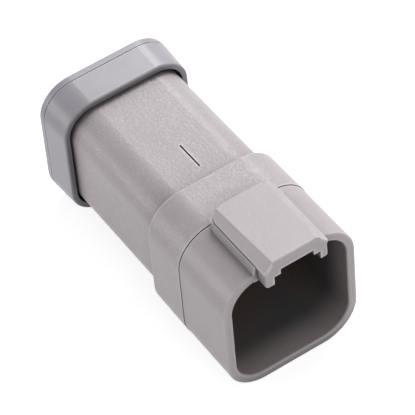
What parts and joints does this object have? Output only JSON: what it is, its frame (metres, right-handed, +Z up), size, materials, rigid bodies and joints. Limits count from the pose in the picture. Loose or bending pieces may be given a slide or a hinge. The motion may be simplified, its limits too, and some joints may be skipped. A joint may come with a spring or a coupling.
{
  "type": "sealed rectangular automotive connector receptacle",
  "caption": "Sealed rectangular wire-to-wire receptacle with a deep shroud, a latch hood, pin contacts, a wedge lock, a wire seal and a rear end cap.",
  "frame": {"origin": "under the middle of the whole part, on the surface that it lies on", "axes": "+X along the mating axis, out of the mouth; +Z up, with the latch hood on top"},
  "size_m": [0.0524, 0.0232, 0.027],
  "materials": {
    "housing_plastic": "fine-grained grey moulding",
    "cap_plastic": "smoother grey moulding",
    "seal_rubber": "soft silicone",
    "wedge_plastic": "matte orange moulding",
    "contact_metal": "nickel-plated"
  },
  "bodies": {
    "housing": {"housing": "housing_plastic", "end_cap": "cap_plastic", "wire_seal": "seal_rubber", "contact_1": "contact_metal", "contact_2": "contact_metal", "contact_3": "contact_metal", "contact_4": "contact_metal", "contact_5": "contact_metal", "contact_6": "contact_metal"},
    "wedge_lock": {"wedge_lock": "wedge_plastic"}
  },
  "joints": [
    {"name": "wedge_lock_slide", "type": "slide", "parent": "housing", "child": "wedge_lock", "axis": [1, 0, 0], "range_m": [0, 0.003]}
  ]
}
